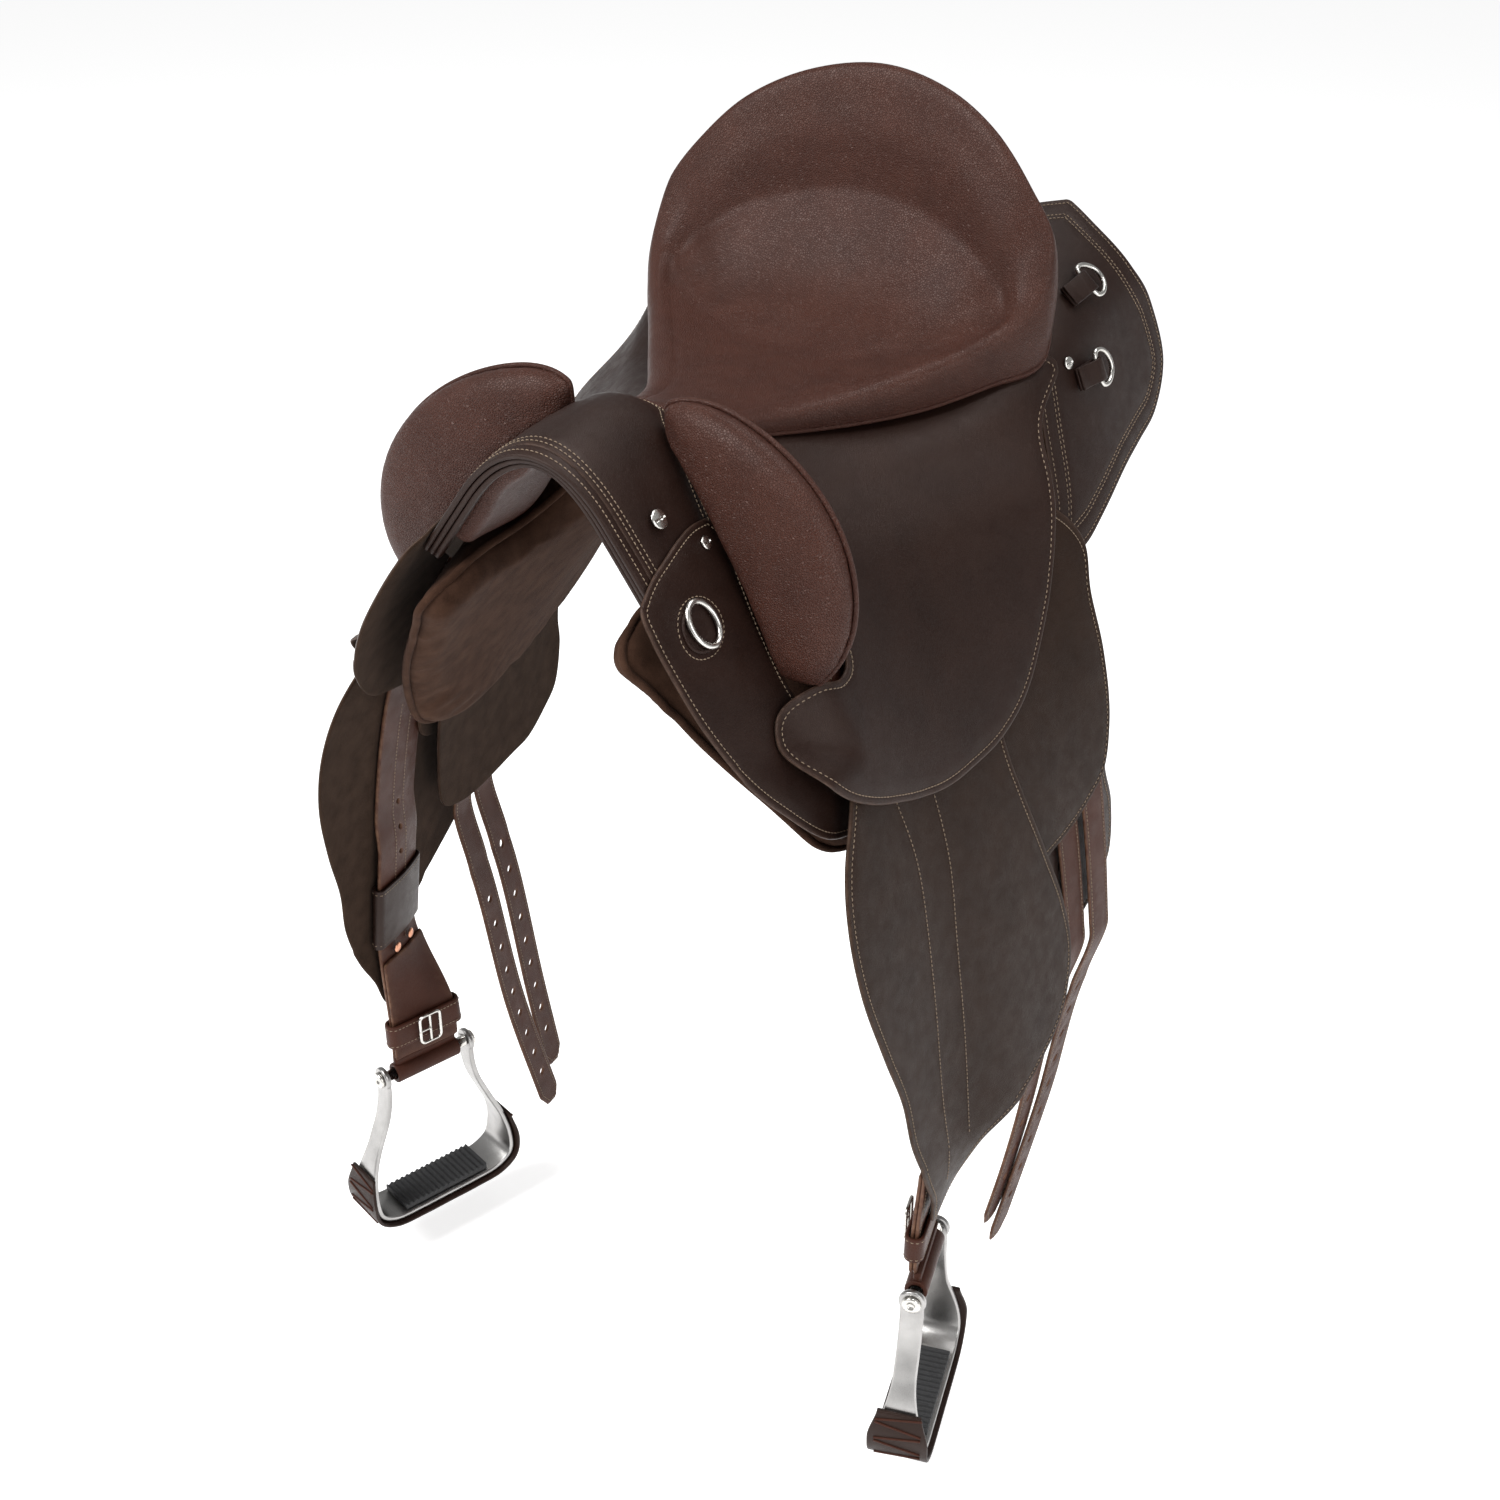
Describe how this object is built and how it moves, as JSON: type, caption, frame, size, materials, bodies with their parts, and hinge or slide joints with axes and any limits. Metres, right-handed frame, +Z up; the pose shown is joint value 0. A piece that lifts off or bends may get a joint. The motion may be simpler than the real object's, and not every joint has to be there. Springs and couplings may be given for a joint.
{
  "type": "stock saddle",
  "caption": "Australian stock saddle with dished seat, knee pads, layered flaps, swinging fenders, billets, dee rings and metal stirrups.",
  "frame": {"origin": "point on the ridge line that the saddle stands over (rack or horse back), on the symmetry plane, below the middle of the seat", "axes": "+X to the saddle's left (near) side, -Y to its front (pommel), +Z up"},
  "size_m": [0.6043, 0.6267, 0.9945],
  "materials": {
    "seat_leather": "red-brown grained leather with a soft sheen",
    "dark_leather": "dark chocolate smooth leather, waxed satin",
    "fender_leather": "dark chocolate smooth leather, waxed satin",
    "suede": "brown suede, matt",
    "strap_leather": "reddish brown strap leather, satin with paler edges",
    "tree_laminate": "laminated glass fibre, semi-matt",
    "steel_plate": "painted steel",
    "nickel": "polished nickel plate",
    "stirrup_alloy": "brushed aluminium",
    "tread_rubber": "black ribbed rubber"
  },
  "bodies": {
    "saddle": {"tree": "tree_laminate", "head_plate": "steel_plate", "pommel_cover": "dark_leather", "arch_binding": "dark_leather", "arch_lining": "seat_leather", "seat": "seat_leather", "panel_left": "suede", "rear_skirt_left": "dark_leather", "front_skirt_left": "dark_leather", "under_flap_left": "dark_leather", "mid_flap_left": "fender_leather", "jockey_left": "dark_leather", "knee_pad_left": "seat_leather", "dee_chape_upper_left": "dark_leather", "dee_chape_lower_left": "dark_leather", "pommel_screw_left": "nickel", "jockey_screw_left": "nickel", "leaf_screw_left": "nickel", "seat_screw_left": "nickel", "panel_right": "suede", "rear_skirt_right": "dark_leather", "front_skirt_right": "dark_leather", "under_flap_right": "dark_leather", "mid_flap_right": "fender_leather", "jockey_right": "dark_leather", "knee_pad_right": "seat_leather", "dee_chape_upper_right": "dark_leather", "dee_chape_lower_right": "dark_leather", "pommel_screw_right": "nickel", "jockey_screw_right": "nickel", "leaf_screw_right": "nickel", "seat_screw_right": "nickel"},
    "fender_left": {"fender_left": "fender_leather", "stirrup_leather_left": "strap_leather", "hobble_strap_left": "strap_leather", "hobble_buckle_left": "nickel", "stirrup_bolt_left": "nickel"},
    "sleeve_left": {"leather_sleeve_left": "dark_leather"},
    "stirrup_left": {"stirrup_iron_left": "stirrup_alloy", "tread_pad_left": "tread_rubber", "tread_cover_left": "dark_leather"},
    "billet_front_left": {"billet_front_left": "strap_leather"},
    "billet_rear_left": {"billet_rear_left": "strap_leather"},
    "breast_ring_left": {"breast_ring_left": "nickel"},
    "dee_upper_left": {"dee_upper_left": "nickel"},
    "dee_lower_left": {"dee_lower_left": "nickel"},
    "fender_right": {"fender_right": "fender_leather", "stirrup_leather_right": "strap_leather", "hobble_strap_right": "strap_leather", "hobble_buckle_right": "nickel", "stirrup_bolt_right": "nickel"},
    "sleeve_right": {"leather_sleeve_right": "dark_leather"},
    "stirrup_right": {"stirrup_iron_right": "stirrup_alloy", "tread_pad_right": "tread_rubber", "tread_cover_right": "dark_leather"},
    "billet_front_right": {"billet_front_right": "strap_leather"},
    "billet_rear_right": {"billet_rear_right": "strap_leather"},
    "breast_ring_right": {"breast_ring_right": "nickel"},
    "dee_upper_right": {"dee_upper_right": "nickel"},
    "dee_lower_right": {"dee_lower_right": "nickel"}
  },
  "joints": [
    {"name": "fender_swing_left", "type": "hinge", "parent": "saddle", "child": "fender_left", "pos_m": [0.13298, -0.08239, 0.00107], "axis": [0.8939, -0.2064, 0.398], "range_deg": [-6, 4.5]},
    {"name": "sleeve_slide_left", "type": "slide", "parent": "fender_left", "child": "sleeve_left", "axis": [-0.1154, 0.003, 0.9933], "range_m": [0, 0.03]},
    {"name": "stirrup_turn_left", "type": "hinge", "parent": "fender_left", "child": "stirrup_left", "pos_m": [0.253, -0.1185, -0.573], "axis": [0.2419, -0.9703, 0], "range_deg": [-60, 60]},
    {"name": "billet_front_swing_left", "type": "hinge", "parent": "saddle", "child": "billet_front_left", "pos_m": [0.25519, 0.06958, -0.19857], "axis": [0.9889, -0.0518, 0.139], "range_deg": [-5, 5]},
    {"name": "billet_rear_swing_left", "type": "hinge", "parent": "saddle", "child": "billet_rear_left", "pos_m": [0.2658, 0.09667, -0.19772], "axis": [0.9889, -0.0518, 0.139], "range_deg": [-5, 5]},
    {"name": "breast_ring_lift_left", "type": "hinge", "parent": "saddle", "child": "breast_ring_left", "pos_m": [0.1076, -0.22107, 0.02083], "axis": [-0.0883, -0.9943, -0.06], "range_deg": [0, 100]},
    {"name": "dee_upper_lift_left", "type": "hinge", "parent": "saddle", "child": "dee_upper_left", "pos_m": [0.17255, 0.26015, 0.11371], "axis": [0.747, 0.0206, -0.6645], "range_deg": [0, 150]},
    {"name": "dee_lower_lift_left", "type": "hinge", "parent": "saddle", "child": "dee_lower_left", "pos_m": [0.20065, 0.2287, 0.05736], "axis": [0.3695, 0.005, -0.9292], "range_deg": [0, 150]},
    {"name": "fender_swing_right", "type": "hinge", "parent": "saddle", "child": "fender_right", "pos_m": [-0.13298, -0.0824, 0.00107], "axis": [0.8939, 0.2064, -0.398], "range_deg": [-6, 4.5]},
    {"name": "sleeve_slide_right", "type": "slide", "parent": "fender_right", "child": "sleeve_right", "axis": [0.1154, 0.003, 0.9933], "range_m": [0, 0.03]},
    {"name": "stirrup_turn_right", "type": "hinge", "parent": "fender_right", "child": "stirrup_right", "pos_m": [-0.253, -0.1185, -0.573], "axis": [-0.3256, -0.9455, 0], "range_deg": [-60, 60]},
    {"name": "billet_front_swing_right", "type": "hinge", "parent": "saddle", "child": "billet_front_right", "pos_m": [-0.24194, 0.00032, -0.19833], "axis": [0.9824, 0.1033, -0.1556], "range_deg": [-5, 5]},
    {"name": "billet_rear_swing_right", "type": "hinge", "parent": "saddle", "child": "billet_rear_right", "pos_m": [-0.25379, 0.0388, -0.19719], "axis": [0.9825, 0.0687, -0.1732], "range_deg": [-5, 5]},
    {"name": "breast_ring_lift_right", "type": "hinge", "parent": "saddle", "child": "breast_ring_right", "pos_m": [-0.1076, -0.22107, 0.02083], "axis": [-0.0883, 0.9943, 0.06], "range_deg": [0, 100]},
    {"name": "dee_upper_lift_right", "type": "hinge", "parent": "saddle", "child": "dee_upper_right", "pos_m": [-0.17255, 0.26015, 0.11371], "axis": [0.747, -0.0206, 0.6645], "range_deg": [0, 150]},
    {"name": "dee_lower_lift_right", "type": "hinge", "parent": "saddle", "child": "dee_lower_right", "pos_m": [-0.20065, 0.2287, 0.05736], "axis": [0.3695, -0.005, 0.9292], "range_deg": [0, 150]}
  ]
}
